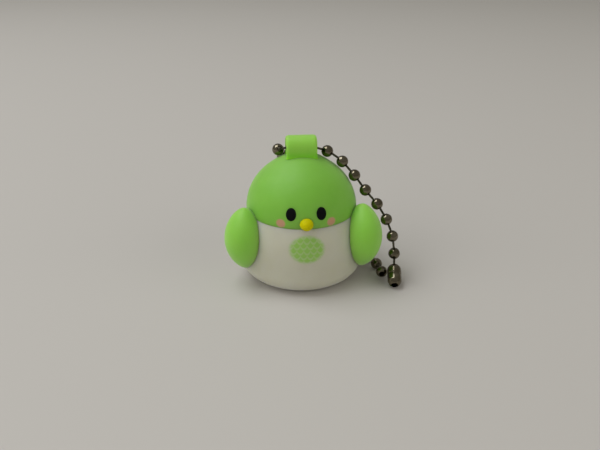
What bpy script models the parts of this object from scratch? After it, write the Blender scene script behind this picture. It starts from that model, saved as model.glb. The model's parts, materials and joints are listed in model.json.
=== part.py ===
"""Soft bird charm on a ball chain, piece by piece at its real size.

The bird faces -Y and stands on the plane z = 0, with its base centred on the origin.
Left and right are as seen from the front. Lengths are in metres.
"""

import math

import bmesh
import bpy
from mathutils import Matrix, Vector

MM = 0.001

# Soft body: a green domed head on a white belly
HEAD_RADIUS = 11.3 * MM
HEAD_HEIGHT = 10.8 * MM
RIM_HEIGHT = 14.2 * MM
BELLY_RADIUS = 12.9 * MM
BELLY_WIDEST_HEIGHT = 6.9 * MM
BASE_ROUND_WIDTH = 3.85 * MM
BASE_ROUND_HEIGHT = 3.8 * MM
PLUG_RADIUS = 6.0 * MM
PLUG_HEIGHT = 4.0 * MM

# Strap loop on the crown, an arch whose hole runs left to right
LOOP_WIDTH = 6.1 * MM
LOOP_HOLE_RADIUS = 1.5 * MM
LOOP_WALL = 0.85 * MM
LOOP_HOLE_RISE = 1.7 * MM
LOOP_SET_BACK = 0.7 * MM
LOOP_LEG_DEPTH = 3.0 * MM
LOOP_EDGE_ROUND = 0.4 * MM

# Wings, puffy leaves on the sides of the body
WING_HALF_WIDTH = 4.05 * MM
WING_HALF_DEPTH = 4.7 * MM
WING_HALF_HEIGHT = 6.7 * MM
WING_STAND_OUT = 3.0 * MM
WING_FORWARD = 5.3 * MM
WING_MIDDLE_HEIGHT = 9.8 * MM
WING_PUFF = 2.3
WING_TOP_TAPER = 0.7
WING_BOTTOM_TAPER = 0.8
WING_PEG_RADIUS = 1.4 * MM
WING_PEG_LENGTH = 3.0 * MM

# Face
BEAK_HALF_WIDTH = 1.3 * MM
BEAK_HALF_HEIGHT = 1.25 * MM
BEAK_REACH = 1.6 * MM
BEAK_RISE = 1.0 * MM
BEAK_PEG_RADIUS = 0.6 * MM
BEAK_PEG_LENGTH = 1.8 * MM
EYE_HALF_WIDTH = 1.25 * MM
EYE_HALF_HEIGHT = 1.58 * MM
EYE_HALF_THICKNESS = 0.5 * MM
EYE_SINK = 0.35 * MM
EYE_SPREAD = 2.9 * MM
EYE_RISE = 2.9 * MM

# Ball chain: hollow beads joined by double-headed links, and a barrel connector
BEAD_RADIUS = 1.2 * MM
BEAD_WALL = 0.1 * MM
BEAD_HOLE_RADIUS = 0.57 * MM
BEAD_PITCH = 3.75 * MM
RIGHT_BEAD_COUNT = 10
LEFT_BEAD_COUNT = 15
LINK_ROD_RADIUS = 0.22 * MM
LINK_HEAD_RADIUS = 0.6 * MM
LINK_HEAD_GAP = 0.08 * MM
LOOP_BEAD_LEAN = 0.05 * MM
CONNECTOR_WALL = 0.14 * MM
CONNECTOR_CELL_PITCH = 2.5 * MM
CONNECTOR_HOLE_RADIUS = 0.7 * MM
CONNECTOR_SLOT_WIDTH = 0.8 * MM
CONNECTOR_WAIST_DEPTH = 0.12 * MM
CONNECTOR_WAIST_LENGTH = 0.5 * MM

# Clearances
FIT_GAP = 0.08 * MM
CONNECTOR_CLEARANCE = 0.08 * MM
CHAIN_STAND_OFF = 0.4 * MM
TABLE_GAP = 0.15 * MM

# Facets
BODY_SEGMENTS = 40
BEAD_SEGMENTS = 12
LINK_SEGMENTS = 6
CONNECTOR_SEGMENTS = 16
SAME_POINT = 1e-7

# Sizes that follow from those above
APEX_HEIGHT = RIM_HEIGHT + HEAD_HEIGHT
LOOP_HOLE_HEIGHT = APEX_HEIGHT + LOOP_HOLE_RISE
WING_REACH = BELLY_RADIUS + WING_STAND_OUT
BEAK_HEIGHT = RIM_HEIGHT + BEAK_RISE
HEAD_CENTRE = Vector((0, 0, RIM_HEIGHT))
HEAD_OFFSET = LINK_HEAD_RADIUS + LINK_HEAD_GAP / 2
BEAD_SPAN = 2 * HEAD_OFFSET
LINK_SPAN = BEAD_PITCH - BEAD_SPAN
CONNECTOR_BORE = BEAD_RADIUS + CONNECTOR_CLEARANCE
CONNECTOR_RADIUS = CONNECTOR_BORE + CONNECTOR_WALL


# How the chain lies. On the head: bearing and elevation in degrees. Beside the belly:
# bearing and height. Past the right wing: out from its edge, forward, and height.
RIGHT_HEAD_ANGLES = ((13.5, 63.9), (1.2, 53.3), (-5.5, 28.9))
RIGHT_PAST_WING = (
    (-3.0 * MM, 1.9 * MM, 17.9 * MM),
    (-0.8 * MM, 2.75 * MM, 15.4 * MM),
    (1.15 * MM, 3.85 * MM, 12.3 * MM),
    (2.5 * MM, 5.0 * MM, 8.6 * MM),
    (2.9 * MM, 5.95 * MM, 4.4 * MM),
    (2.45 * MM, 8.45 * MM, 2.15 * MM),
    (1.95 * MM, 11.55 * MM, 1.1 * MM),
)
LEFT_CROWN_ANGLES = ((147.3, 65.5), (126.9, 55.6), (114.1, 47.4))
LEFT_HEAD_ANGLES = ((105.0, 32.1), (49.3, 2.6))
LEFT_HEAD_COUNT = 5
LEFT_BELLY_ANGLES = (44.0, 14.6)
LEFT_BELLY_HEIGHTS = (11.4 * MM, 2.8 * MM)
LEFT_BELLY_COUNT = 4
LEFT_ON_TABLE = (
    (-0.85 * MM, -0.5 * MM, BEAD_RADIUS),
    (0, 3.2 * MM, BEAD_RADIUS + TABLE_GAP),
    (0.35 * MM, 6.4 * MM, BEAD_RADIUS + 2 * TABLE_GAP),
    (-0.5 * MM, 8.6 * MM, BEAD_RADIUS + 2 * TABLE_GAP),
    (-2.4 * MM, 10.8 * MM, BEAD_RADIUS + 2 * TABLE_GAP),
)


def clear_scene():
    for old in list(bpy.data.objects):
        bpy.data.objects.remove(old, do_unlink=True)


def make_material(name, colour, roughness, metallic=0.0):
    material = bpy.data.materials.new(name)
    material.use_nodes = True
    shader = material.node_tree.nodes["Principled BSDF"]
    shader.inputs["Base Color"].default_value = (*colour, 1.0)
    shader.inputs["Roughness"].default_value = roughness
    shader.inputs["Metallic"].default_value = metallic
    return material


def make_mesh(name, shape, material, sharp_angle=50):
    mesh = bpy.data.meshes.new(name)
    shape.to_mesh(mesh)
    shape.free()
    mesh.shade_smooth()
    mesh.set_sharp_from_angle(angle=math.radians(sharp_angle))
    if material:
        mesh.materials.append(material)
    return mesh


def add_object(name, mesh, place=None):
    piece = bpy.data.objects.new(name, mesh)
    bpy.context.scene.collection.objects.link(piece)
    if place:
        piece.matrix_world = place
    return piece


def add_tool(name, shape, place=None):
    """A guide solid that cuts or joins another piece and is not a piece itself."""
    tool = add_object(name, make_mesh(name, shape, None), place)
    tool.hide_render = True
    tool.display_type = "WIRE"
    return tool


def boolean(piece, tool, operation):
    step = piece.modifiers.new(f"{operation.lower()}_{tool.name}", "BOOLEAN")
    step.operation = operation
    step.solver = "EXACT"
    step.object = tool


def arc(centre, radius_across, radius_up, start, end, steps):
    """Points (across, up) on an ellipse from one angle to another, in degrees."""
    points = []
    for index in range(steps + 1):
        angle = math.radians(start + (end - start) * index / steps)
        across = centre[0] + radius_across * math.cos(angle)
        points.append((across, centre[1] + radius_up * math.sin(angle)))
    return points


def turned(profile, segments, closed=False):
    """A solid of revolution about Z from points (radius, height)."""
    shape = bmesh.new()
    verts = [shape.verts.new((radius, 0, height)) for radius, height in profile]
    edges = [shape.edges.new(pair) for pair in zip(verts, verts[1:])]
    if closed:
        edges.append(shape.edges.new((verts[-1], verts[0])))
    bmesh.ops.spin(
        shape, geom=verts + edges, cent=(0, 0, 0), axis=(0, 0, 1),
        angle=2 * math.pi, steps=segments, use_merge=True,
    )
    bmesh.ops.remove_doubles(shape, verts=shape.verts, dist=SAME_POINT)
    bmesh.ops.recalc_face_normals(shape, faces=shape.faces)
    return shape


def box(low, high):
    shape = bmesh.new()
    bmesh.ops.create_cube(shape, size=1)
    size = Vector(high) - Vector(low)
    bmesh.ops.scale(shape, vec=size, verts=shape.verts)
    bmesh.ops.translate(shape, vec=Vector(low) + size / 2, verts=shape.verts)
    return shape


def peg(radius, start, end, segments=12):
    """A round peg between two points."""
    start, end = Vector(start), Vector(end)
    turn = (end - start).to_track_quat("Z", "Y").to_matrix().to_4x4()
    shape = bmesh.new()
    bmesh.ops.create_cone(
        shape, cap_ends=True, segments=segments, radius1=radius, radius2=radius,
        depth=(end - start).length, matrix=Matrix.Translation((start + end) / 2) @ turn,
    )
    return shape


def belly_side(height, steps, grow=0.0):
    """The belly's outline from the table up to a height, as (radius, height) points."""
    base_radius = BELLY_RADIUS - BASE_ROUND_WIDTH
    points = arc(
        (base_radius, BASE_ROUND_HEIGHT), BASE_ROUND_WIDTH + grow,
        BASE_ROUND_HEIGHT + grow, -90, 0, steps,
    )
    for index in range(steps + 1):
        level = index / steps
        narrowing = (BELLY_RADIUS - HEAD_RADIUS) * level ** 2
        up = BELLY_WIDEST_HEIGHT + (height - BELLY_WIDEST_HEIGHT) * level
        points.append((BELLY_RADIUS - narrowing + grow, up))
    return points


def body_radius(height):
    """Radius of the body of the bird at a height above the rounded base."""
    if height >= RIM_HEIGHT:
        rise = (height - RIM_HEIGHT) / HEAD_HEIGHT
        return HEAD_RADIUS * math.sqrt(max(1 - rise ** 2, 0))
    level = (height - BELLY_WIDEST_HEIGHT) / (RIM_HEIGHT - BELLY_WIDEST_HEIGHT)
    return BELLY_RADIUS - (BELLY_RADIUS - HEAD_RADIUS) * max(level, 0) ** 2


def build_body_outline():
    """The whole body grown by the fit gap, which shapes the backs of what sits on it."""
    profile = [(0, -FIT_GAP)]
    profile += belly_side(RIM_HEIGHT, 6, FIT_GAP)
    across, up = HEAD_RADIUS + FIT_GAP, HEAD_HEIGHT + FIT_GAP
    profile += arc((0, RIM_HEIGHT), across, up, 0, 90, 9)[1:]
    return add_tool("body_outline", turned(profile, BODY_SEGMENTS))


def build_belly(material):
    profile = [(0, 0)] + belly_side(RIM_HEIGHT, 6)
    plug_top = RIM_HEIGHT + PLUG_HEIGHT
    profile += [(PLUG_RADIUS, RIM_HEIGHT), (PLUG_RADIUS, plug_top), (0, plug_top)]
    mesh = make_mesh("belly", turned(profile, BODY_SEGMENTS), material)
    return add_object("belly", mesh)


def build_head(material):
    socket_radius = PLUG_RADIUS + FIT_GAP
    socket_top = RIM_HEIGHT + PLUG_HEIGHT + FIT_GAP
    rim = RIM_HEIGHT + FIT_GAP
    profile = [(0, socket_top), (socket_radius, socket_top), (socket_radius, rim)]
    start = math.degrees(math.asin(FIT_GAP / HEAD_HEIGHT))
    profile += arc((0, RIM_HEIGHT), HEAD_RADIUS, HEAD_HEIGHT, start, 90, 9)
    mesh = make_mesh("head", turned(profile, BODY_SEGMENTS), material)
    return add_object("head", mesh)


def build_strap_loop(head, material):
    outer = LOOP_HOLE_RADIUS + LOOP_WALL
    foot = APEX_HEIGHT - LOOP_LEG_DEPTH
    middle = (LOOP_SET_BACK, LOOP_HOLE_HEIGHT)
    outline = [(LOOP_SET_BACK + outer, foot)] + arc(middle, outer, outer, 0, 180, 10)
    outline += [(LOOP_SET_BACK - outer, foot), (LOOP_SET_BACK - LOOP_HOLE_RADIUS, foot)]
    outline += arc(middle, LOOP_HOLE_RADIUS, LOOP_HOLE_RADIUS, 180, 0, 10)
    outline += [(LOOP_SET_BACK + LOOP_HOLE_RADIUS, foot)]
    shape = bmesh.new()
    side = shape.faces.new([shape.verts.new((-LOOP_WIDTH / 2, y, z)) for y, z in outline])
    grown = bmesh.ops.extrude_face_region(shape, geom=[side])
    moved = [item for item in grown["geom"] if isinstance(item, bmesh.types.BMVert)]
    bmesh.ops.translate(shape, vec=(LOOP_WIDTH, 0, 0), verts=moved)
    bmesh.ops.recalc_face_normals(shape, faces=shape.faces)
    arch = []
    for edge in shape.edges:
        a, b = (vert.co for vert in edge.verts)
        spans = [math.hypot(point.y - middle[0], point.z - middle[1]) for point in (a, b)]
        on_arch = all(abs(span - outer) < SAME_POINT * 10 for span in spans)
        if on_arch and abs(a.x - b.x) < SAME_POINT:
            arch.append(edge)
    bmesh.ops.bevel(
        shape, geom=arch, offset=LOOP_EDGE_ROUND, segments=2, profile=0.5,
        affect="EDGES", material=-1,
    )
    loop = add_object("strap_loop", make_mesh("strap_loop", shape, material))
    half = LOOP_WIDTH / 2 + FIT_GAP
    for name, side in (("front", -1), ("back", 1)):
        near, far = sorted((side * (LOOP_HOLE_RADIUS - FIT_GAP), side * (outer + FIT_GAP)))
        low = (-half, LOOP_SET_BACK + near, foot - FIT_GAP)
        high = (half, LOOP_SET_BACK + far, APEX_HEIGHT)
        boolean(head, add_tool(f"loop_pocket_{name}", box(low, high)), "DIFFERENCE")
    return loop


def build_wing(name, side, body_outline, belly, material):
    """One wing: a ball drawn out into a leaf, hollowed to sit on the body, with a peg."""
    puff = 2 / WING_PUFF
    shape = bmesh.new()
    bmesh.ops.create_uvsphere(shape, u_segments=18, v_segments=12, radius=1)
    middle = WING_REACH - WING_HALF_WIDTH
    for vert in shape.verts:
        x, y, z = vert.co
        ring = math.hypot(x, y)
        leaf = (1 - z ** 2) ** (WING_TOP_TAPER if z > 0 else WING_BOTTOM_TAPER)
        if ring > SAME_POINT:
            x = math.copysign(abs(x / ring) ** puff, x) * leaf
            y = math.copysign(abs(y / ring) ** puff, y) * leaf
        vert.co = (
            side * (middle + x * WING_HALF_WIDTH),
            -WING_FORWARD + y * WING_HALF_DEPTH,
            WING_MIDDLE_HEIGHT + z * WING_HALF_HEIGHT,
        )
    bmesh.ops.recalc_face_normals(shape, faces=shape.faces)
    wing = add_object(name, make_mesh(name, shape, material))
    boolean(wing, body_outline, "DIFFERENCE")

    seat = math.sqrt(BELLY_RADIUS ** 2 - WING_FORWARD ** 2)
    inner = (side * (seat - WING_PEG_LENGTH), -WING_FORWARD, WING_MIDDLE_HEIGHT)
    outer = (side * middle, -WING_FORWARD, WING_MIDDLE_HEIGHT)
    wing_peg = add_tool(f"{name}_peg", peg(WING_PEG_RADIUS, inner, outer))
    boolean(wing, wing_peg, "UNION")

    bottom = (side * (seat - WING_PEG_LENGTH - FIT_GAP), -WING_FORWARD, WING_MIDDLE_HEIGHT)
    socket = add_tool(f"{name}_socket", peg(WING_PEG_RADIUS + FIT_GAP, bottom, outer))
    boolean(belly, socket, "DIFFERENCE")
    return wing


def build_beak(body_outline, head, material):
    """A yellow nub, round above and drawn to a point below, on a peg in the head."""
    surface = body_radius(BEAK_HEIGHT)
    shape = bmesh.new()
    bmesh.ops.create_uvsphere(shape, u_segments=14, v_segments=8, radius=1)
    for vert in shape.verts:
        x, y, z = vert.co
        narrow = 1 - 0.4 * max(-z, 0) ** 2
        vert.co = (
            x * narrow * BEAK_HALF_WIDTH,
            -surface + y * narrow * BEAK_REACH,
            BEAK_HEIGHT + z * BEAK_HALF_HEIGHT,
        )
    bmesh.ops.recalc_face_normals(shape, faces=shape.faces)
    beak = add_object("beak", make_mesh("beak", shape, material))
    boolean(beak, body_outline, "DIFFERENCE")

    front = (0, -surface - BEAK_REACH / 2, BEAK_HEIGHT)
    back = (0, -surface + BEAK_PEG_LENGTH, BEAK_HEIGHT)
    boolean(beak, add_tool("beak_peg", peg(BEAK_PEG_RADIUS, front, back, 8)), "UNION")
    bottom = (0, -surface + BEAK_PEG_LENGTH + FIT_GAP, BEAK_HEIGHT)
    socket = add_tool("beak_socket", peg(BEAK_PEG_RADIUS + FIT_GAP, front, bottom, 8))
    boolean(head, socket, "DIFFERENCE")
    return beak


def build_eye(name, side, head, material):
    """A black oval set into a pocket in the head and standing a little proud."""
    depth = math.sqrt(body_radius(RIM_HEIGHT + EYE_RISE) ** 2 - EYE_SPREAD ** 2)
    spot = Vector((side * EYE_SPREAD, -depth, EYE_RISE))
    steepness = (HEAD_RADIUS / HEAD_HEIGHT) ** 2
    normal = Vector((spot.x, spot.y, spot.z * steepness)).normalized()
    across = Vector((0, 0, 1)).cross(normal).normalized()
    up = normal.cross(across)
    place = Matrix((across, normal, up)).transposed().to_4x4()
    place.translation = HEAD_CENTRE + spot - normal * EYE_SINK

    def lens(grow):
        shape = bmesh.new()
        bmesh.ops.create_uvsphere(shape, u_segments=14, v_segments=8, radius=1)
        size = (EYE_HALF_WIDTH + grow, EYE_HALF_THICKNESS + grow, EYE_HALF_HEIGHT + grow)
        bmesh.ops.scale(shape, vec=size, verts=shape.verts)
        return shape

    eye = add_object(name, make_mesh(name, lens(0), material), place)
    boolean(head, add_tool(f"{name}_pocket", lens(FIT_GAP), place), "DIFFERENCE")
    return eye


def bead_mesh(material):
    """A hollow ball with a hole at each end, from its first pivot along +Z."""
    centre = (0, HEAD_OFFSET)
    inner = BEAD_RADIUS - BEAD_WALL
    open_out = math.degrees(math.acos(BEAD_HOLE_RADIUS / BEAD_RADIUS))
    open_in = math.degrees(math.acos(BEAD_HOLE_RADIUS / inner))
    profile = arc(centre, BEAD_RADIUS, BEAD_RADIUS, -open_out, open_out, 5)
    profile += arc(centre, inner, inner, open_in, -open_in, 3)
    return make_mesh("bead", turned(profile, BEAD_SEGMENTS, closed=True), material)


def link_mesh(material):
    """A short rod with a round head at each end, from its first pivot along +Z."""
    neck = math.degrees(math.asin(LINK_ROD_RADIUS / LINK_HEAD_RADIUS))
    profile = arc((0, 0), LINK_HEAD_RADIUS, LINK_HEAD_RADIUS, -90, 90 - neck, 4)
    far = arc((0, LINK_SPAN), LINK_HEAD_RADIUS, LINK_HEAD_RADIUS, neck - 90, 90, 4)
    return make_mesh("link", turned(profile + far, LINK_SEGMENTS), material)


def connector_mesh(material):
    """A pressed barrel with two bead cells, end holes and a slot down one side (+X)."""
    first, second = HEAD_OFFSET, HEAD_OFFSET + CONNECTOR_CELL_PITCH
    middle = (first + second) / 2
    half_waist = CONNECTOR_WAIST_LENGTH / 2

    def wall(radius):
        end = math.degrees(math.acos(CONNECTOR_HOLE_RADIUS / radius))
        points = arc((0, first), radius, radius, -end, 0, 4)
        points.append((radius, middle - half_waist))
        points.append((radius - CONNECTOR_WAIST_DEPTH, middle))
        points.append((radius, middle + half_waist))
        return points + arc((0, second), radius, radius, 0, end, 4)

    profile = wall(CONNECTOR_RADIUS) + wall(CONNECTOR_BORE)[::-1]
    mesh = make_mesh("connector", turned(profile, CONNECTOR_SEGMENTS, closed=True), material)
    half_slot = CONNECTOR_SLOT_WIDTH / 2
    reach = 2 * CONNECTOR_RADIUS
    low = (0, -half_slot, first - reach)
    high = (reach, half_slot, second + reach)
    return mesh, box(low, high)


def over_head(bearing, elevation):
    """Where a bead lies on the head: bearing from +X towards +Y, elevation from the rim."""
    bearing, elevation = math.radians(bearing), math.radians(elevation)
    clear = BEAD_RADIUS + CHAIN_STAND_OFF
    flat = (HEAD_RADIUS + clear) * math.cos(elevation)
    up = (HEAD_HEIGHT + clear) * math.sin(elevation)
    return HEAD_CENTRE + Vector((flat * math.cos(bearing), flat * math.sin(bearing), up))


def beside_belly(bearing, height):
    """Where a bead lies beside the belly, at a height above the table."""
    bearing = math.radians(bearing)
    reach = body_radius(height) + BEAD_RADIUS + CHAIN_STAND_OFF
    return Vector((reach * math.cos(bearing), reach * math.sin(bearing), height))


def past_wing(across, forward, height):
    """A point measured from the right wing's outer edge, in front of the body's middle."""
    return Vector((WING_REACH + across, -forward, height))


def spiral(place, start, end, count):
    """Evenly spaced points from one (bearing, level) to another, both ends included."""
    points = []
    for index in range(count):
        part = index / (count - 1)
        bearing = start[0] + (end[0] - start[0]) * part
        points.append(place(bearing, start[1] + (end[1] - start[1]) * part))
    return points


def smooth_route(points, steps=40):
    """A fine polyline on the smooth curve through the points."""
    before = 2 * points[0] - points[1]
    after = 2 * points[-1] - points[-2]
    guide = [before, *points, after]
    route = []
    for a, b, c, d in zip(guide, guide[1:], guide[2:], guide[3:]):
        for index in range(steps):
            t = index / steps
            blend = 2 * b + (c - a) * t
            blend += (2 * a - 5 * b + 4 * c - d) * t ** 2
            blend += (3 * b - a - 3 * c + d) * t ** 3
            route.append(blend / 2)
    return route + [points[-1]]


def march(route, first, beads):
    """Pivots along a route for so many beads, one bead span and one link span apart in turn.

    A chain longer than its route runs straight on from the route's end.
    """
    onward = (route[-1] - route[-2]).normalized() * beads * BEAD_PITCH
    path = [*route, route[-1] + onward]
    pivots = [first]
    place = min(range(len(route)), key=lambda index: (route[index] - first).length)
    while len(pivots) < 2 * beads:
        span = BEAD_SPAN if len(pivots) % 2 else LINK_SPAN
        while (path[place] - pivots[-1]).length < span:
            place += 1
        low, high = path[place - 1], path[place]
        for _ in range(30):
            half = (low + high) / 2
            if (half - pivots[-1]).length < span:
                low = half
            else:
                high = half
        pivots.append(high.copy())
    return pivots


def along(start, end):
    """The placing that stands a piece on its first pivot and aims it at the next."""
    place = (end - start).to_track_quat("Z", "Y").to_matrix().to_4x4()
    place.translation = start
    return place


def build_strand(side, pivots, bead, link):
    """Beads and links along one side of the chain, numbered from the strap loop."""
    for index in range(len(pivots) // 2):
        start, end = pivots[2 * index], pivots[2 * index + 1]
        if index:
            add_object(f"link_{side}_{index:02d}", link, along(pivots[2 * index - 1], start))
        add_object(f"bead_{side}_{index + 1:02d}", bead, along(start, end))


def build_chain(bead_steel, link_steel, connector_steel):
    bead = bead_mesh(bead_steel)
    link = link_mesh(link_steel)
    right_start = Vector((LINK_SPAN / 2, LOOP_SET_BACK, LOOP_HOLE_HEIGHT))
    left_start = Vector((-LINK_SPAN / 2, LOOP_SET_BACK, LOOP_HOLE_HEIGHT))
    add_object("link_in_loop", link, along(left_start, right_start))

    right_bead = right_start + Vector((HEAD_OFFSET, 0, 0))
    left_bead = left_start + Vector((-HEAD_OFFSET, LOOP_BEAD_LEAN, 0))
    right_route = [left_bead, right_bead]
    right_route += [over_head(*lie) for lie in RIGHT_HEAD_ANGLES]
    right_route += [past_wing(*lie) for lie in RIGHT_PAST_WING]
    left_route = [right_bead, left_bead]
    left_route += [over_head(*lie) for lie in LEFT_CROWN_ANGLES]
    left_route += spiral(over_head, *LEFT_HEAD_ANGLES, LEFT_HEAD_COUNT)
    belly_lie = zip(LEFT_BELLY_ANGLES, LEFT_BELLY_HEIGHTS)
    left_route += spiral(beside_belly, *belly_lie, LEFT_BELLY_COUNT)
    left_route += [past_wing(*lie) for lie in LEFT_ON_TABLE]
    right_pivots = march(smooth_route(right_route), right_start, RIGHT_BEAD_COUNT)
    left_pivots = march(smooth_route(left_route), left_start, LEFT_BEAD_COUNT)
    in_connector = right_pivots[-2]
    axis = (right_route[-1] - in_connector).normalized()
    right_pivots[-1] = in_connector + axis * BEAD_SPAN
    build_strand("right", right_pivots, bead, link)
    build_strand("left", left_pivots, bead, link)

    towards = left_pivots[-1] - in_connector
    slot_side = (towards - axis * towards.dot(axis)).normalized()
    place = Matrix((slot_side, axis.cross(slot_side), axis)).transposed().to_4x4()
    place.translation = in_connector
    barrel, slot = connector_mesh(connector_steel)
    connector = add_object("connector", barrel, place)
    boolean(connector, add_tool("connector_slot", slot, place), "DIFFERENCE")


def build_bird():
    green = make_material("green_rubber", (0.20, 0.50, 0.07), 0.55)
    loop_green = make_material("loop_green_rubber", (0.20, 0.50, 0.07), 0.55)
    wing_green = make_material("wing_green_rubber", (0.18, 0.47, 0.06), 0.55)
    white = make_material("white_rubber", (0.72, 0.71, 0.66), 0.5)
    yellow = make_material("yellow_rubber", (0.75, 0.62, 0.02), 0.45)
    black = make_material("black_gloss", (0.01, 0.01, 0.012), 0.3)
    bead_steel = make_material("bead_gunmetal", (0.10, 0.09, 0.08), 0.25, 1.0)
    link_steel = make_material("link_gunmetal", (0.07, 0.065, 0.06), 0.35, 1.0)
    connector_steel = make_material("connector_gunmetal", (0.11, 0.10, 0.09), 0.3, 1.0)

    body_outline = build_body_outline()
    belly = build_belly(white)
    head = build_head(green)
    build_strap_loop(head, loop_green)
    build_wing("wing_left", -1, body_outline, belly, wing_green)
    build_wing("wing_right", 1, body_outline, belly, wing_green)
    build_beak(body_outline, head, yellow)
    build_eye("eye_left", -1, head, black)
    build_eye("eye_right", 1, head, black)
    build_chain(bead_steel, link_steel, connector_steel)


clear_scene()
build_bird()
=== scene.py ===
import json
import math

import bmesh
import bpy
from mathutils import Matrix, Vector

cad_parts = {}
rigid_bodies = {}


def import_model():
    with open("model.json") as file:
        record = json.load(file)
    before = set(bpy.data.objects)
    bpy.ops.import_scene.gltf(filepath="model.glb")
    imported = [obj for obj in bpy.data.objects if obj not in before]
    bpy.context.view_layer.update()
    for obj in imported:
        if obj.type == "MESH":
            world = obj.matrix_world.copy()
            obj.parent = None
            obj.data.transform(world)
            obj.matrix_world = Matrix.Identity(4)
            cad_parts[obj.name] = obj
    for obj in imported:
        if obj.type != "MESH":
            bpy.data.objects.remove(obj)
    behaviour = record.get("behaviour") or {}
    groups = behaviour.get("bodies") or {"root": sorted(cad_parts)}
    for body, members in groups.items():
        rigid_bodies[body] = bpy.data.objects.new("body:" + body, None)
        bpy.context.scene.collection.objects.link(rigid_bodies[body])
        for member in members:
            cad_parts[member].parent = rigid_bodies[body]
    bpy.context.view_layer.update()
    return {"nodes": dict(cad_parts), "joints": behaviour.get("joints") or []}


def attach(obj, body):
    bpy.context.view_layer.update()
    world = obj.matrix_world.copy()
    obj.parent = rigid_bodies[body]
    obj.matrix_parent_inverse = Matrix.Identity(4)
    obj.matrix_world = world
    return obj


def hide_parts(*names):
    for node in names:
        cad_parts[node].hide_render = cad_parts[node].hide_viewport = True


for leftover in list(bpy.data.objects):
    bpy.data.objects.remove(leftover, do_unlink=True)

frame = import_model()


# Belly: the white lower half of the bird, cast in soft rubber, with a flat foot and a
# full round under edge. It narrows a little towards the rim, where the green head is
# cast on over a plug. A pale green feather pattern is printed on the breast.
MM = 0.001
HEAD_RADIUS = 11.3 * MM
RIM_HEIGHT = 14.2 * MM
BELLY_RADIUS = 12.9 * MM
BELLY_WIDEST_HEIGHT = 6.9 * MM
BASE_ROUND_WIDTH = 3.85 * MM
BASE_ROUND_HEIGHT = 3.8 * MM
PLUG_RADIUS = 6.0 * MM
PLUG_HEIGHT = 4.0 * MM
SEAM_ROUND = 0.05 * MM
SEAM_STEPS = 5
BELLY_STEPS = 24
BODY_STEPS = 128
BELLY_WHITE = (0.56, 0.555, 0.465)
BELLY_SHADE = (0.53, 0.52, 0.42)
PRINT_GREEN = (0.25, 0.52, 0.05)
PRINT_HEIGHT = 10.4 * MM
PRINT_HALF_WIDTH = 3.3 * MM
PRINT_HALF_HEIGHT = 2.6 * MM
PRINT_SOFTNESS = 0.35
FEATHER_WIDTH = 1.3 * MM
FEATHER_HEIGHT = 1.0 * MM
FEATHER_BEND = 2.4
FEATHER_LINE_LEVEL = 0.18


def arc_points(centre, across, up, start, end, steps):
    """Points (radius, height) on an ellipse, from one angle to another in degrees."""
    points = []
    for index in range(steps + 1):
        angle = math.radians(start + (end - start) * index / steps)
        points.append((centre[0] + across * math.cos(angle), centre[1] + up * math.sin(angle)))
    return points


def turn(profile, steps, closed=False, start=0.0, angle=2 * math.pi):
    """Spins a profile of (radius, height) points about Z."""
    shape = bmesh.new()
    verts = []
    for radius, height in profile:
        place = (radius * math.cos(start), radius * math.sin(start), height)
        verts.append(shape.verts.new(place))
    edges = [shape.edges.new(pair) for pair in zip(verts, verts[1:])]
    if closed:
        edges.append(shape.edges.new((verts[-1], verts[0])))
    whole = angle > 2 * math.pi - 1e-6
    bmesh.ops.spin(
        shape, geom=verts + edges, cent=(0, 0, 0), axis=(0, 0, 1),
        angle=angle, steps=steps, use_merge=whole,
    )
    bmesh.ops.remove_doubles(shape, verts=shape.verts, dist=1e-7)
    bmesh.ops.recalc_face_normals(shape, faces=shape.faces)
    return shape


def add_piece(name, shape, material, body, node, sharp=60):
    """Makes a finished piece that stands for one solid and moves with its body."""
    mesh = bpy.data.meshes.new(name)
    shape.to_mesh(mesh)
    shape.free()
    mesh.shade_smooth()
    mesh.set_sharp_from_angle(angle=math.radians(sharp))
    mesh.materials.append(material)
    piece = bpy.data.objects.new(name, mesh)
    bpy.context.scene.collection.objects.link(piece)
    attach(piece, body)
    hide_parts(node)
    return piece


def belly_radius(height):
    """Radius of the belly above its rounded under edge."""
    level = max(height - BELLY_WIDEST_HEIGHT, 0) / (RIM_HEIGHT - BELLY_WIDEST_HEIGHT)
    return BELLY_RADIUS - (BELLY_RADIUS - HEAD_RADIUS) * level ** 2


def group_socket(group, name, kind, in_out="INPUT", value=None):
    """Adds a named socket to a node group."""
    socket = group.interface.new_socket(name=name, in_out=in_out, socket_type=kind)
    if value is not None:
        socket.default_value = value
    return socket


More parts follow.
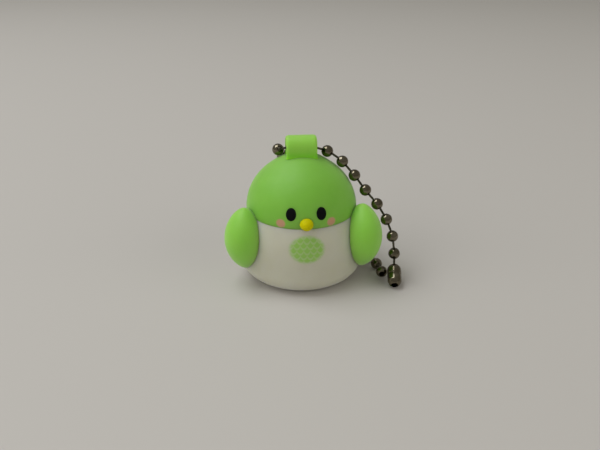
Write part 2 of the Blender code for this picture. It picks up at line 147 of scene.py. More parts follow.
def make_rubber_group():
    """Soft cast rubber: faint cloudiness in the colour, fine grain and a dry bloom."""
    group = bpy.data.node_groups.new("soft_rubber", "ShaderNodeTree")
    group_socket(group, "Colour", "NodeSocketColor")
    group_socket(group, "Shade", "NodeSocketColor")
    group_socket(group, "Colour", "NodeSocketColor", "OUTPUT")
    group_socket(group, "Roughness", "NodeSocketFloat", "OUTPUT")
    group_socket(group, "Normal", "NodeSocketVector", "OUTPUT")
    nodes, links = group.nodes, group.links
    inlet = nodes.new("NodeGroupInput")
    outlet = nodes.new("NodeGroupOutput")
    coords = nodes.new("ShaderNodeTexCoord")

    clouds = nodes.new("ShaderNodeTexNoise")
    clouds.inputs["Scale"].default_value = 160
    clouds.inputs["Detail"].default_value = 3
    links.new(coords.outputs["Object"], clouds.inputs["Vector"])
    cloud_range = nodes.new("ShaderNodeMapRange")
    cloud_range.inputs["From Min"].default_value = 0.35
    cloud_range.inputs["From Max"].default_value = 0.7
    links.new(clouds.outputs["Fac"], cloud_range.inputs["Value"])
    tint = nodes.new("ShaderNodeMix")
    tint.data_type = "RGBA"
    links.new(cloud_range.outputs["Result"], tint.inputs["Factor"])
    links.new(inlet.outputs["Colour"], tint.inputs["A"])
    links.new(inlet.outputs["Shade"], tint.inputs["B"])

    bloom = nodes.new("ShaderNodeTexNoise")
    bloom.inputs["Scale"].default_value = 900
    bloom.inputs["Detail"].default_value = 5
    links.new(coords.outputs["Object"], bloom.inputs["Vector"])
    dull = nodes.new("ShaderNodeMapRange")
    dull.inputs["To Min"].default_value = 0.5
    dull.inputs["To Max"].default_value = 0.7
    links.new(bloom.outputs["Fac"], dull.inputs["Value"])

    grain = nodes.new("ShaderNodeTexNoise")
    grain.inputs["Scale"].default_value = 4200
    grain.inputs["Detail"].default_value = 2
    links.new(coords.outputs["Object"], grain.inputs["Vector"])
    bump = nodes.new("ShaderNodeBump")
    bump.inputs["Strength"].default_value = 0.25
    bump.inputs["Distance"].default_value = 0.00002
    links.new(grain.outputs["Fac"], bump.inputs["Height"])

    links.new(tint.outputs["Result"], outlet.inputs["Colour"])
    links.new(dull.outputs["Result"], outlet.inputs["Roughness"])
    links.new(bump.outputs["Normal"], outlet.inputs["Normal"])
    return group


soft_rubber = make_rubber_group()


def make_rubber(name, colour, shade, glow=0.8, depth=4 * MM, gloss=0.8, sheen=0.3):
    """A soft rubber material. Returns it with the node that gives its colour."""
    material = bpy.data.materials.new(name)
    material.use_nodes = True
    nodes, links = material.node_tree.nodes, material.node_tree.links
    shader = nodes["Principled BSDF"]
    skin = nodes.new("ShaderNodeGroup")
    skin.node_tree = soft_rubber
    skin.inputs["Colour"].default_value = (*colour, 1)
    skin.inputs["Shade"].default_value = (*shade, 1)
    links.new(skin.outputs["Colour"], shader.inputs["Base Color"])
    links.new(skin.outputs["Roughness"], shader.inputs["Roughness"])
    links.new(skin.outputs["Normal"], shader.inputs["Normal"])
    shader.inputs["Subsurface Weight"].default_value = glow
    shader.inputs["Subsurface Radius"].default_value = (1.0, 1.0, 0.6)
    shader.inputs["Subsurface Scale"].default_value = depth
    shader.inputs["Specular IOR Level"].default_value = gloss
    shader.inputs["Sheen Weight"].default_value = sheen
    shader.inputs["Sheen Roughness"].default_value = 0.4
    return material, skin


def math_node(nodes, links, operation, first, second=None):
    """A Math node whose inputs are sockets or plain numbers."""
    node = nodes.new("ShaderNodeMath")
    node.operation = operation
    for socket, value in zip(node.inputs, (first, second)):
        if value is None:
            continue
        if isinstance(value, (int, float)):
            socket.default_value = value
        else:
            links.new(value, socket)
    return node.outputs["Value"]


def lay_print_and_painted_shade(material, skin, mask, colour):
    """Lays a colour over a rubber skin where the mask is white: the printed marks, and the painted
    shade at the loop's foot.
    """
    nodes, links = material.node_tree.nodes, material.node_tree.links
    layer = nodes.new("ShaderNodeMix")
    layer.data_type = "RGBA"
    layer.inputs["B"].default_value = (*colour, 1)
    links.new(mask, layer.inputs["Factor"])
    links.new(skin.outputs["Colour"], layer.inputs["A"])
    links.new(layer.outputs["Result"], nodes["Principled BSDF"].inputs["Base Color"])


def oval_mask(nodes, links, x, z, half_width, half_height, soft):
    """White inside an oval about the origin of x and z, fading out at its edge."""
    across = math_node(nodes, links, "DIVIDE", x, half_width)
    up = math_node(nodes, links, "DIVIDE", z, half_height)
    square_across = math_node(nodes, links, "MULTIPLY", across, across)
    square_up = math_node(nodes, links, "MULTIPLY", up, up)
    reach = math_node(nodes, links, "ADD", square_across, square_up)
    fade = nodes.new("ShaderNodeMapRange")
    fade.interpolation_type = "SMOOTHSTEP"
    fade.inputs["From Min"].default_value = 1 + soft
    fade.inputs["From Max"].default_value = 1 - soft
    links.new(reach, fade.inputs["Value"])
    return fade.outputs["Result"]


def front_coords(nodes, links):
    """Object coordinates split into x, height, and a mask of the front half."""
    coords = nodes.new("ShaderNodeTexCoord")
    split = nodes.new("ShaderNodeSeparateXYZ")
    links.new(coords.outputs["Object"], split.inputs["Vector"])
    front = math_node(nodes, links, "LESS_THAN", split.outputs["Y"], 0.0)
    return split.outputs["X"], split.outputs["Z"], front


def feather_mask(nodes, links, x, z):
    """Rows of overlapping scallops, like small breast feathers."""
    rows = math_node(nodes, links, "DIVIDE", z, FEATHER_HEIGHT)
    row = math_node(nodes, links, "FLOOR", rows)
    level = math_node(nodes, links, "SUBTRACT", rows, row)
    shift = math_node(nodes, links, "MULTIPLY", row, 0.5)
    columns = math_node(nodes, links, "DIVIDE", x, FEATHER_WIDTH)
    moved = math_node(nodes, links, "ADD", columns, shift)
    place = math_node(nodes, links, "FRACT", moved)
    off = math_node(nodes, links, "SUBTRACT", place, 0.5)
    curve = math_node(nodes, links, "MULTIPLY", off, off)
    curve = math_node(nodes, links, "MULTIPLY", curve, FEATHER_BEND)
    edge = math_node(nodes, links, "SUBTRACT", level, curve)
    edge = math_node(nodes, links, "SUBTRACT", edge, FEATHER_LINE_LEVEL)
    edge = math_node(nodes, links, "ABSOLUTE", edge)
    line = nodes.new("ShaderNodeMapRange")
    line.interpolation_type = "SMOOTHSTEP"
    line.inputs["From Min"].default_value = 0.10
    line.inputs["From Max"].default_value = 0.30
    line.inputs["To Min"].default_value = 0.6
    line.inputs["To Max"].default_value = 0.88
    links.new(edge, line.inputs["Value"])
    return line.outputs["Result"]


belly_rubber, belly_skin = make_rubber("belly_white_rubber", BELLY_WHITE, BELLY_SHADE)
nodes, links = belly_rubber.node_tree.nodes, belly_rubber.node_tree.links
print_x, world_z, print_front = front_coords(nodes, links)
print_z = math_node(nodes, links, "SUBTRACT", world_z, PRINT_HEIGHT)
patch = oval_mask(
    nodes, links, print_x, print_z, PRINT_HALF_WIDTH, PRINT_HALF_HEIGHT, PRINT_SOFTNESS
)
patch = math_node(nodes, links, "MULTIPLY", patch, print_front)
feathers = feather_mask(nodes, links, print_x, print_z)
breast = math_node(nodes, links, "MULTIPLY", patch, feathers)
lay_print_and_painted_shade(belly_rubber, belly_skin, breast, PRINT_GREEN)

base_radius = BELLY_RADIUS - BASE_ROUND_WIDTH
belly_profile = [(0, 0), (base_radius * 0.5, 0)]
belly_profile += arc_points(
    (base_radius, BASE_ROUND_HEIGHT), BASE_ROUND_WIDTH, BASE_ROUND_HEIGHT, -90, 0, BELLY_STEPS
)
rise = RIM_HEIGHT - SEAM_ROUND - BELLY_WIDEST_HEIGHT
for index in range(BELLY_STEPS + 1):
    height = BELLY_WIDEST_HEIGHT + rise * index / BELLY_STEPS
    belly_profile.append((belly_radius(height), height))
belly_profile += arc_points(
    (HEAD_RADIUS - SEAM_ROUND, RIM_HEIGHT - SEAM_ROUND), SEAM_ROUND, SEAM_ROUND, 15, 90, SEAM_STEPS
)
plug_top = RIM_HEIGHT + PLUG_HEIGHT
belly_profile += [(PLUG_RADIUS, RIM_HEIGHT), (PLUG_RADIUS, plug_top), (0, plug_top)]
add_piece(
    "belly_skin", turn(belly_profile, BODY_STEPS), belly_rubber, "bird", "belly"
)


# Head: a green dome of the same soft rubber, cast over the belly's plug, so the two
# colours meet on a level line round the bird. Two round pink cheeks are printed just
# above that line.
HEAD_HEIGHT = 10.8 * MM
CROWN_RISE = 0.4 * MM
CROWN_REACH = 7.0 * MM
CROWN_FLAT = 2.5 * MM
CROWN_BACK = 0.7 * MM
FIT_GAP = 0.08 * MM
HEAD_GREEN = (0.205, 0.51, 0.045)
HEAD_SHADE = (0.19, 0.485, 0.035)
CHEEK_PINK = (0.63, 0.27, 0.21)
CHEEK_SPREAD = 4.85 * MM
CHEEK_HEIGHT = 15.2 * MM
CHEEK_HALF_WIDTH = 0.82 * MM
CHEEK_HALF_HEIGHT = 0.82 * MM
CHEEK_SOFTNESS = 0.5
CHEEK_STRENGTH = 0.85
DOME_START = 1.2
DOME_STEPS = 48

head_rubber, head_skin = make_rubber("head_green_rubber", HEAD_GREEN, HEAD_SHADE)
nodes, links = head_rubber.node_tree.nodes, head_rubber.node_tree.links
cheek_x, cheek_z, cheek_front = front_coords(nodes, links)
cheek_x = math_node(nodes, links, "ABSOLUTE", cheek_x)
cheek_x = math_node(nodes, links, "SUBTRACT", cheek_x, CHEEK_SPREAD)
cheek_z = math_node(nodes, links, "SUBTRACT", cheek_z, CHEEK_HEIGHT)
cheek = oval_mask(
    nodes, links, cheek_x, cheek_z, CHEEK_HALF_WIDTH, CHEEK_HALF_HEIGHT, CHEEK_SOFTNESS
)
cheek = math_node(nodes, links, "MULTIPLY", cheek, cheek_front)
cheek = math_node(nodes, links, "MULTIPLY", cheek, CHEEK_STRENGTH)
lay_print_and_painted_shade(head_rubber, head_skin, cheek, CHEEK_PINK)

socket_radius = PLUG_RADIUS + FIT_GAP
socket_top = plug_top + FIT_GAP
head_rim = RIM_HEIGHT + 0.3 * FIT_GAP
head_profile = [(0, socket_top), (socket_radius, socket_top), (socket_radius, head_rim)]
head_profile += arc_points(
    (HEAD_RADIUS - SEAM_ROUND, head_rim + SEAM_ROUND), SEAM_ROUND, SEAM_ROUND, -90, 0, SEAM_STEPS
)
head_profile += arc_points(
    (0, RIM_HEIGHT), HEAD_RADIUS, HEAD_HEIGHT, DOME_START, 90, DOME_STEPS
)
head_shape = turn(head_profile, BODY_STEPS)
for vert in head_shape.verts:
    reach = Vector((vert.co.x, vert.co.y - CROWN_BACK)).length
    near = min(max((CROWN_REACH - reach) / (CROWN_REACH - CROWN_FLAT), 0), 1)
    if vert.co.z > socket_top + FIT_GAP:
        vert.co.z += CROWN_RISE * near ** 2 * (3 - 2 * near)
add_piece("head_skin", head_shape, head_rubber, "bird", "head")


# Strap loop: a flat band of green rubber bent over into an arch on the crown, cast in
# one with the head, with rounded edges and a small fillet where its legs meet the dome.
# The chain passes through it from side to side.
LOOP_WIDTH = 6.1 * MM
LOOP_HOLE_RADIUS = 1.5 * MM
LOOP_WALL = 0.85 * MM
LOOP_HOLE_HEIGHT = 26.7 * MM
LOOP_SET_BACK = 0.7 * MM
LOOP_FOOT = 22.0 * MM
LOOP_EDGE_WIDTH = 0.75 * MM
LOOP_EDGE_ROUND = 0.42 * MM
LOOP_FILLET = 0.3 * MM
LOOP_CORNER_STEPS = 8
LOOP_LEG_STEPS = 24
LOOP_ARCH_STEPS = 36
LOOP_FACE_CUTS = 16
# Painted glow: the loop's two greens are paler than the head's, standing in for light passing
# through the thin band of rubber.
LOOP_GREEN_PAINTED_GLOW = (0.29, 0.63, 0.065)
LOOP_SHADE_PAINTED_GLOW = (0.27, 0.60, 0.055)
# Painted shade: the deeper green laid on at the loop's foot, for the crease where its legs meet the
# dome.
LOOP_CREASE_SHADE = (0.20, 0.63, 0.005)

loop_rubber_painted_glow_and_shade, loop_skin = make_rubber(
    "loop_green_rubber", LOOP_GREEN_PAINTED_GLOW, LOOP_SHADE_PAINTED_GLOW, glow=0.6, depth=1.2 * MM
)
nodes, links = loop_rubber_painted_glow_and_shade.node_tree.nodes, loop_rubber_painted_glow_and_shade.node_tree.links
# Painted shade: from the hole's height down to the top of the dome, the loop blends into the deeper
# crease green.
root_z = front_coords(nodes, links)[1]
root = nodes.new("ShaderNodeMapRange")
root.interpolation_type = "SMOOTHSTEP"
root.inputs["From Min"].default_value = LOOP_HOLE_HEIGHT
root.inputs["From Max"].default_value = RIM_HEIGHT + HEAD_HEIGHT
links.new(root_z, root.inputs["Value"])
lay_print_and_painted_shade(loop_rubber_painted_glow_and_shade, loop_skin, root.outputs["Result"], LOOP_CREASE_SHADE)


def grow_leg(shape, ring, rise, steps):
    """Draws a ring of edges straight up or down in even steps and returns the end ring."""
    for _ in range(steps):
        grown = bmesh.ops.extrude_edge_only(shape, edges=ring)["geom"]
        moved = {item for item in grown if isinstance(item, bmesh.types.BMVert)}
        bmesh.ops.translate(shape, vec=(0, 0, rise / steps), verts=list(moved))
        edges = [item for item in grown if isinstance(item, bmesh.types.BMEdge)]
        ring = [edge for edge in edges if moved.issuperset(edge.verts)]
    return ring


leg_middle = LOOP_HOLE_RADIUS + LOOP_WALL / 2
loop_section = []
for quarter, (right, back) in enumerate(((1, 1), (-1, 1), (-1, -1), (1, -1))):
    corner = (
        right * (LOOP_WIDTH / 2 - LOOP_EDGE_WIDTH),
        LOOP_SET_BACK - leg_middle + back * (LOOP_WALL / 2 - LOOP_EDGE_ROUND),
    )
    start = 90 * quarter
    loop_section += arc_points(
        corner, LOOP_EDGE_WIDTH, LOOP_EDGE_ROUND, start, start + 90, LOOP_CORNER_STEPS
    )
loop_shape = bmesh.new()
loop_verts = [loop_shape.verts.new((x, y, LOOP_FOOT)) for x, y in loop_section]
for pair in zip(loop_verts, loop_verts[1:] + loop_verts[:1]):
    loop_shape.edges.new(pair)
long_edges = [edge for edge in loop_shape.edges if edge.calc_length() > LOOP_WALL]
bmesh.ops.subdivide_edges(loop_shape, edges=long_edges, cuts=LOOP_FACE_CUTS)
leg_length = LOOP_HOLE_HEIGHT - LOOP_FOOT
leg_top = grow_leg(loop_shape, loop_shape.edges[:], leg_length, LOOP_LEG_STEPS)
arch = bmesh.ops.spin(
    loop_shape, geom=leg_top, cent=(0, LOOP_SET_BACK, LOOP_HOLE_HEIGHT), axis=(1, 0, 0),
    angle=-math.pi, steps=LOOP_ARCH_STEPS,
)
arch_end = [item for item in arch["geom_last"] if isinstance(item, bmesh.types.BMEdge)]
grow_leg(loop_shape, arch_end, -leg_length, LOOP_LEG_STEPS)
open_ends = [edge for edge in loop_shape.edges if edge.is_boundary]
bmesh.ops.holes_fill(loop_shape, edges=open_ends, sides=0)
bmesh.ops.remove_doubles(loop_shape, verts=loop_shape.verts, dist=1e-7)
bmesh.ops.recalc_face_normals(loop_shape, faces=loop_shape.faces)
loop_shape.normal_update()
for vert in loop_shape.verts:
    above_rim = Vector((vert.co.x, vert.co.y, (vert.co.z - RIM_HEIGHT) * HEAD_RADIUS / HEAD_HEIGHT))
    height = above_rim.length - HEAD_RADIUS - CROWN_RISE
    if abs(height) < LOOP_FILLET and vert.co.z < LOOP_HOLE_HEIGHT:
        flare = LOOP_FILLET * (1 - max(height, 0) / LOOP_FILLET) ** 2
        outward = Vector((vert.normal.x, vert.normal.y, 0))
        vert.co += outward * flare * 0.5
add_piece(
    "strap_loop_skin", loop_shape, loop_rubber_painted_glow_and_shade, "bird", "strap_loop", 75
)


# Wings: two puffy green leaves, one on each side, cast in the same rubber and seated on
# the belly and the lower edge of the head. Each is full in the middle and drawn in to a
# soft point above and below. The right one is a little fuller in front and below.
WING_HALF_WIDTH = 4.05 * MM
WING_HALF_DEPTH = 4.7 * MM
WING_HALF_HEIGHT = 6.7 * MM
WING_STAND_OUT = 3.0 * MM
WING_FORWARD = 5.3 * MM
WING_MIDDLE_HEIGHT = 9.8 * MM
WING_PUFF = 2.05
WING_TOP_TAPER = 0.7
WING_BOTTOM_TAPER = 0.8
RIGHT_WING_FRONT = 1.0 * MM
RIGHT_WING_LOW = 0.5 * MM
# Painted glow: the wings' two greens are paler than the head's, standing in for light passing
# through the thinner rubber.
WING_GREEN_PAINTED_GLOW = (0.26, 0.595, 0.063)
WING_SHADE_PAINTED_GLOW = (0.245, 0.565, 0.053)

wing_rubber_painted_glow = make_rubber("wing_green_rubber", WING_GREEN_PAINTED_GLOW, WING_SHADE_PAINTED_GLOW)[0]


def body_radius(height):
    """Radius of the whole bird's body at a height."""
    if height >= RIM_HEIGHT:
        return HEAD_RADIUS * math.sqrt(max(1 - ((height - RIM_HEIGHT) / HEAD_HEIGHT) ** 2, 0))
    if height < BASE_ROUND_HEIGHT:
        drop = min((BASE_ROUND_HEIGHT - height) / BASE_ROUND_HEIGHT, 1)
        return base_radius + BASE_ROUND_WIDTH * math.sqrt(1 - drop ** 2)
    return belly_radius(height)


def wing_shape(side, front, low):
    """A ball drawn out into a leaf, with its inner side laid against the body."""
    shape = bmesh.new()
    bmesh.ops.create_uvsphere(shape, u_segments=96, v_segments=64, radius=1)
    middle = BELLY_RADIUS + WING_STAND_OUT - WING_HALF_WIDTH
    for vert in shape.verts:
        x, y, z = vert.co
        ring = math.hypot(x, y)
        leaf = (1 - z ** 2) ** (WING_TOP_TAPER if z > 0 else WING_BOTTOM_TAPER)
        if ring > 1e-6:
            x = math.copysign(abs(x / ring) ** (2 / WING_PUFF), x) * leaf
            y = math.copysign(abs(y / ring) ** (2 / WING_PUFF), y) * leaf
        place = Vector((
            side * (middle + x * WING_HALF_WIDTH),
            -WING_FORWARD + y * (WING_HALF_DEPTH + (front if y < 0 else 0)),
            WING_MIDDLE_HEIGHT + z * (WING_HALF_HEIGHT + (low if z < 0 else 0)),
        ))
        seat = body_radius(place.z) + FIT_GAP / 2
        reach = math.hypot(place.x, place.y)
        if reach < seat:
            place.x *= seat / reach
            place.y *= seat / reach
        vert.co = place
    bmesh.ops.remove_doubles(shape, verts=shape.verts, dist=1e-7)
    bmesh.ops.recalc_face_normals(shape, faces=shape.faces)
    return shape


left_wing = wing_shape(-1, 0, 0)
add_piece("wing_left_skin", left_wing, wing_rubber_painted_glow, "bird", "wing_left")
right_wing = wing_shape(1, RIGHT_WING_FRONT, RIGHT_WING_LOW)
add_piece("wing_right_skin", right_wing, wing_rubber_painted_glow, "bird", "wing_right")


# Beak: a small yellow rubber nub set into the head on the line where the colours meet,
# round on top and drawn to a blunt point below.
BEAK_HALF_WIDTH = 1.3 * MM
BEAK_HALF_HEIGHT = 1.25 * MM
BEAK_REACH = 1.6 * MM
BEAK_HEIGHT = 15.2 * MM
BEAK_NARROWING = 0.4
BEAK_YELLOW = (0.55, 0.51, 0.0)
BEAK_SHADE = (0.51, 0.47, 0.0)

beak_rubber = make_rubber(
    "beak_yellow_rubber", BEAK_YELLOW, BEAK_SHADE, glow=0.6, depth=1.2 * MM, gloss=0.1, sheen=0.0
)[0]
beak_seat = body_radius(BEAK_HEIGHT)
beak_shape = bmesh.new()
bmesh.ops.create_uvsphere(beak_shape, u_segments=48, v_segments=32, radius=1)
for vert in beak_shape.verts:
    x, y, z = vert.co
    narrow = 1 - BEAK_NARROWING * max(-z, 0) ** 2
    vert.co = (
        x * narrow * BEAK_HALF_WIDTH,
        -beak_seat + y * narrow * BEAK_REACH,
        BEAK_HEIGHT + z * BEAK_HALF_HEIGHT,
    )
bmesh.ops.recalc_face_normals(beak_shape, faces=beak_shape.faces)
add_piece("beak_skin", beak_shape, beak_rubber, "bird", "beak")


# Eyes: two black ovals set into the head above the beak, a little proud of it.
EYE_HALF_WIDTH = 1.25 * MM
EYE_HALF_HEIGHT = 1.52 * MM
EYE_HALF_THICKNESS = 0.5 * MM
EYE_SINK = 0.35 * MM
EYE_SPREAD = 2.9 * MM
EYE_RISE = 2.9 * MM
EYE_BLACK = (0.003, 0.003, 0.004)
EYE_SHADE = (0.005, 0.005, 0.006)

eye_black = make_rubber(
    "eye_black", EYE_BLACK, EYE_SHADE, glow=0.0, depth=MM, gloss=0.1, sheen=0.0
)[0]
for eye_name, eye_side in (("eye_left", -1), ("eye_right", 1)):
    depth = math.sqrt(body_radius(RIM_HEIGHT + EYE_RISE) ** 2 - EYE_SPREAD ** 2)
    spot = Vector((eye_side * EYE_SPREAD, -depth, EYE_RISE))
    steepness = (HEAD_RADIUS / HEAD_HEIGHT) ** 2
    normal = Vector((spot.x, spot.y, spot.z * steepness)).normalized()
    across = Vector((0, 0, 1)).cross(normal).normalized()
    place = Matrix((across, normal, normal.cross(across))).transposed().to_4x4()
    place.translation = Vector((0, 0, RIM_HEIGHT)) + spot - normal * EYE_SINK
    eye_shape = bmesh.new()
    bmesh.ops.create_uvsphere(eye_shape, u_segments=48, v_segments=32, radius=1)
    eye_size = (EYE_HALF_WIDTH, EYE_HALF_THICKNESS, EYE_HALF_HEIGHT)
    bmesh.ops.scale(eye_shape, vec=eye_size, verts=eye_shape.verts)
    bmesh.ops.transform(eye_shape, matrix=place, verts=eye_shape.verts)
    add_piece(f"{eye_name}_gloss", eye_shape, eye_black, "bird", eye_name)


# Chain beads: hollow balls drawn from thin steel strip, with a small turned-in hole at
# each end where the strip closes round the links. They have a dark gunmetal plate, a
# little brighter in cloudy patches.
BEAD_RADIUS = 1.2 * MM
BEAD_WALL = 0.1 * MM
BEAD_HOLE_RADIUS = 0.57 * MM
HEAD_OFFSET = 0.64 * MM
BEAD_STEPS = 40
BEAD_POLISH = 0.04
PLATE_DARK = (0.14, 0.12, 0.08)
PLATE_WORN = (0.28, 0.25, 0.19)


def make_plate_group():
    """Dark plated steel with cloudy tarnish, fine rub marks and uneven polish."""
    group = bpy.data.node_groups.new("gunmetal_plate", "ShaderNodeTree")
    group_socket(group, "Dark", "NodeSocketColor")
    group_socket(group, "Worn", "NodeSocketColor")
    group_socket(group, "Polish", "NodeSocketFloat", value=0.25)
    group_socket(group, "Colour", "NodeSocketColor", "OUTPUT")
    group_socket(group, "Roughness", "NodeSocketFloat", "OUTPUT")
    group_socket(group, "Normal", "NodeSocketVector", "OUTPUT")
    nodes, links = group.nodes, group.links
    inlet = nodes.new("NodeGroupInput")
    outlet = nodes.new("NodeGroupOutput")
    coords = nodes.new("ShaderNodeTexCoord")

    tarnish = nodes.new("ShaderNodeTexNoise")
    tarnish.inputs["Scale"].default_value = 700
    tarnish.inputs["Detail"].default_value = 6
    tarnish.inputs["Roughness"].default_value = 0.65
    links.new(coords.outputs["Object"], tarnish.inputs["Vector"])
    worn = nodes.new("ShaderNodeMapRange")
    worn.inputs["From Min"].default_value = 0.4
    worn.inputs["From Max"].default_value = 0.75
    links.new(tarnish.outputs["Fac"], worn.inputs["Value"])
    tint = nodes.new("ShaderNodeMix")
    tint.data_type = "RGBA"
    links.new(worn.outputs["Result"], tint.inputs["Factor"])
    links.new(inlet.outputs["Dark"], tint.inputs["A"])
    links.new(inlet.outputs["Worn"], tint.inputs["B"])

    smear = nodes.new("ShaderNodeTexNoise")
    smear.inputs["Scale"].default_value = 2600
    smear.inputs["Detail"].default_value = 3
    links.new(coords.outputs["Object"], smear.inputs["Vector"])
    spread = math_node(nodes, links, "MULTIPLY", smear.outputs["Fac"], 0.08)
    rough = math_node(nodes, links, "ADD", spread, inlet.outputs["Polish"])
    bump = nodes.new("ShaderNodeBump")
    bump.inputs["Strength"].default_value = 0.12
    bump.inputs["Distance"].default_value = 0.00001
    links.new(smear.outputs["Fac"], bump.inputs["Height"])

    links.new(tint.outputs["Result"], outlet.inputs["Colour"])
    links.new(rough, outlet.inputs["Roughness"])
    links.new(bump.outputs["Normal"], outlet.inputs["Normal"])
    return group


gunmetal_plate = make_plate_group()


def make_plate(name, dark, worn, polish):
    """A plated steel material; a higher polish value is a duller surface."""
    material = bpy.data.materials.new(name)
    material.use_nodes = True
    nodes, links = material.node_tree.nodes, material.node_tree.links
    shader = nodes["Principled BSDF"]
    shader.inputs["Metallic"].default_value = 1.0
    plate = nodes.new("ShaderNodeGroup")
    plate.node_tree = gunmetal_plate
    plate.inputs["Dark"].default_value = (*dark, 1)
    plate.inputs["Worn"].default_value = (*worn, 1)
    plate.inputs["Polish"].default_value = polish
    links.new(plate.outputs["Colour"], shader.inputs["Base Color"])
    links.new(plate.outputs["Roughness"], shader.inputs["Roughness"])
    links.new(plate.outputs["Normal"], shader.inputs["Normal"])
    return material


bead_plate = make_plate("bead_gunmetal", PLATE_DARK, PLATE_WORN, BEAD_POLISH)
pivots = {joint["child"]: Vector(joint["pos_m"]) for joint in frame["joints"]}
pivots["bead_right_10"] = pivots["connector"]
pivots["link_in_loop"] = pivots["bead_left_01"]


def node_middle(node):
    """The middle of a solid, from its own points."""
    points = [vert.co for vert in frame["nodes"][node].data.vertices]
    return sum(points, Vector()) / len(points)


def along_chain(node):
    """Stands a chain piece on its pivot and aims +Z along the chain."""
    start = pivots[node]
    place = (node_middle(node) - start).to_track_quat("Z", "Y").to_matrix().to_4x4()
    place.translation = start
    return place


def bead_shape(place):
    """A hollow ball, open at both ends of the chain's line."""
    centre = (0, HEAD_OFFSET)
    inner = BEAD_RADIUS - BEAD_WALL
    open_out = math.degrees(math.acos(BEAD_HOLE_RADIUS / BEAD_RADIUS))
    open_in = math.degrees(math.acos(BEAD_HOLE_RADIUS / inner))
    profile = arc_points(centre, BEAD_RADIUS, BEAD_RADIUS, -open_out, open_out, 20)
    profile += arc_points(centre, inner, inner, open_in, -open_in, 8)
    shape = turn(profile, BEAD_STEPS, closed=True)
    bmesh.ops.transform(shape, matrix=place, verts=shape.verts)
    return shape


for node in sorted(frame["nodes"]):
    if node.startswith("bead_"):
        body = "connector" if node == "bead_right_10" else node
        add_piece(
            f"{node}_shell", bead_shape(along_chain(node)), bead_plate, body, node
        )


# Chain links: short steel rods with a round head pressed up at each end. The heads sit
# inside the beads, so only the thin neck shows between them.
LINK_SPAN = 2.47 * MM
LINK_ROD_RADIUS = 0.22 * MM
LINK_HEAD_RADIUS = 0.6 * MM
LINK_STEPS = 24
LINK_DARK = (0.08, 0.07, 0.05)
LINK_WORN = (0.16, 0.145, 0.115)
LINK_POLISH = 0.24

link_plate = make_plate("link_gunmetal", LINK_DARK, LINK_WORN, LINK_POLISH)


def link_shape(place):
    """A rod with a round head at each end."""
    neck = math.degrees(math.asin(LINK_ROD_RADIUS / LINK_HEAD_RADIUS))
    near = arc_points((0, 0), LINK_HEAD_RADIUS, LINK_HEAD_RADIUS, -90, 90 - neck, 14)
    far = arc_points((0, LINK_SPAN), LINK_HEAD_RADIUS, LINK_HEAD_RADIUS, neck - 90, 90, 14)
    shape = turn(near + far, LINK_STEPS)
    bmesh.ops.transform(shape, matrix=place, verts=shape.verts)
    return shape


for node in sorted(frame["nodes"]):
    if node.startswith("link_"):
        add_piece(f"{node}_rod", link_shape(along_chain(node)), link_plate, node, node)


# Connector: a barrel rolled from steel strip round two bead cells, open along one side
# and pinched at the waist, with a hole at each end for the chain. The last bead is
# clipped into its upper cell.
CONNECTOR_BORE = 1.28 * MM
CONNECTOR_RADIUS = 1.42 * MM
CONNECTOR_HOLE_RADIUS = 0.7 * MM
CONNECTOR_SLOT_WIDTH = 0.8 * MM
CONNECTOR_WAIST_DEPTH = 0.12 * MM
CONNECTOR_WAIST_LENGTH = 0.5 * MM
CONNECTOR_CELL_PITCH = 2.5 * MM
CONNECTOR_STEPS = 56
CONNECTOR_POLISH = 0.14

connector_plate = make_plate("connector_gunmetal", PLATE_DARK, PLATE_WORN, CONNECTOR_POLISH)


def barrel_wall(radius):
    """Side of the barrel as (radius, height) points: a cell, a pinched waist, a cell."""
    first, second = HEAD_OFFSET, HEAD_OFFSET + CONNECTOR_CELL_PITCH
    middle = (first + second) / 2
    end = math.degrees(math.acos(CONNECTOR_HOLE_RADIUS / radius))
    points = arc_points((0, first), radius, radius, -end, 0, 14)
    for index in range(13):
        part = index / 12 - 0.5
        pinch = CONNECTOR_WAIST_DEPTH * math.cos(math.pi * part) ** 2
        points.append((radius - pinch, middle + CONNECTOR_WAIST_LENGTH * part))
    return points + arc_points((0, second), radius, radius, 0, end, 14)


connector_start = pivots["connector"]
connector_axis = (node_middle("bead_right_10") - connector_start).normalized()
free_end = along_chain("bead_left_15") @ Vector((0, 0, 2 * HEAD_OFFSET))
towards = free_end - connector_start
slot_side = (towards - connector_axis * towards.dot(connector_axis)).normalized()
connector_place = Matrix((slot_side, connector_axis.cross(slot_side), connector_axis))
connector_place = connector_place.transposed().to_4x4()
connector_place.translation = connector_start
slot_angle = 2 * math.asin(CONNECTOR_SLOT_WIDTH / 2 / CONNECTOR_RADIUS)
connector_shape = turn(
    barrel_wall(CONNECTOR_RADIUS) + barrel_wall(CONNECTOR_BORE)[::-1], CONNECTOR_STEPS,
    closed=True, start=slot_angle / 2, angle=2 * math.pi - slot_angle,
)
slot_edges = [edge for edge in connector_shape.edges if edge.is_boundary]
bmesh.ops.holes_fill(connector_shape, edges=slot_edges, sides=0)
bmesh.ops.recalc_face_normals(connector_shape, faces=connector_shape.faces)
bmesh.ops.transform(connector_shape, matrix=connector_place, verts=connector_shape.verts)
add_piece(
    "connector_shell", connector_shape, connector_plate, "connector", "connector",
)


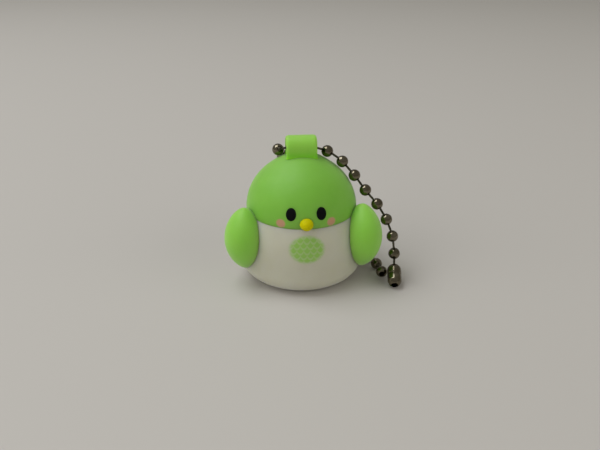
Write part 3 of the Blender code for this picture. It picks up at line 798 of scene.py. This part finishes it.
# Floor: a plain pale table top, which is not part of the object.
FLOOR_HALF = 1.2
FLOOR_PALE = (0.55, 0.525, 0.505)
floor_shape = bmesh.new()
bmesh.ops.create_grid(floor_shape, x_segments=1, y_segments=1, size=FLOOR_HALF)
floor_mesh = bpy.data.meshes.new("floor")
floor_shape.to_mesh(floor_mesh)
floor_shape.free()
floor_paint = bpy.data.materials.new("floor_pale")
floor_paint.use_nodes = True
floor_shader = floor_paint.node_tree.nodes["Principled BSDF"]
floor_shader.inputs["Base Color"].default_value = (*FLOOR_PALE, 1)
floor_shader.inputs["Roughness"].default_value = 0.6
floor_mesh.materials.append(floor_paint)
floor = bpy.data.objects.new("floor", floor_mesh)
bpy.context.scene.collection.objects.link(floor)


# Light: a wide soft lamp high on the left, two broad fills low in front at either side,
# which don't show in the metal, and a dim pale room.
ROOM_COLOUR = (0.83, 0.81, 0.71)
ROOM_STRENGTH = 0.32


def add_lamp(name, place, target, size, power, colour, mirrored):
    """A square lamp aimed at a target; mirrored says whether shiny surfaces show it."""
    lamp = bpy.data.lights.new(name, "AREA")
    lamp.size = size
    lamp.energy = power
    lamp.color = colour
    holder = bpy.data.objects.new(name, lamp)
    holder.location = place
    holder.visible_glossy = mirrored
    aim = Vector(target) - Vector(place)
    holder.rotation_euler = aim.to_track_quat("-Z", "Y").to_euler()
    bpy.context.scene.collection.objects.link(holder)


bird_middle = (0, 0, 0.014)
add_lamp(
    "key_lamp", (-0.33, 0.10, 0.71), bird_middle, size=0.55, power=3.2,
    colour=(0.97, 0.99, 1.0), mirrored=True,
)
add_lamp(
    "left_fill", (-0.92, -0.40, 0.26), bird_middle, size=1.2, power=5.8,
    colour=(1.0, 0.99, 0.96), mirrored=False,
)
add_lamp(
    "right_fill", (0.74, -0.46, 0.24), bird_middle, size=1.0, power=3.0,
    colour=(1.0, 0.98, 0.90), mirrored=False,
)
world = bpy.data.worlds.new("pale_room")
world.use_nodes = True
room = world.node_tree.nodes["Background"]
room.inputs["Color"].default_value = (*ROOM_COLOUR, 1)
room.inputs["Strength"].default_value = ROOM_STRENGTH
bpy.context.scene.world = world


# Camera: in front and above, turned a little to the right.
CAMERA_PLACE = Vector((-10.45, -116.34, 66.69)) * MM
CAMERA_YAW = math.radians(5)
CAMERA_PITCH = math.radians(26)
FOCAL_PIXELS = 620
IMAGE_WIDTH = 600
camera_data = bpy.data.cameras.new("camera")
camera_data.sensor_width = 36
camera_data.lens = camera_data.sensor_width * FOCAL_PIXELS / IMAGE_WIDTH
camera_data.clip_start = 0.001
camera = bpy.data.objects.new("camera", camera_data)
flat = math.cos(CAMERA_PITCH)
drop = math.sin(CAMERA_PITCH)
forward = Vector((math.sin(CAMERA_YAW) * flat, math.cos(CAMERA_YAW) * flat, -drop))
to_right = Vector((math.cos(CAMERA_YAW), -math.sin(CAMERA_YAW), 0))
camera_place = Matrix((to_right, to_right.cross(forward), -forward)).transposed().to_4x4()
camera_place.translation = CAMERA_PLACE
camera.matrix_world = camera_place
bpy.context.scene.collection.objects.link(camera)
bpy.context.scene.camera = camera
bpy.context.scene.view_settings.view_transform = "Standard"
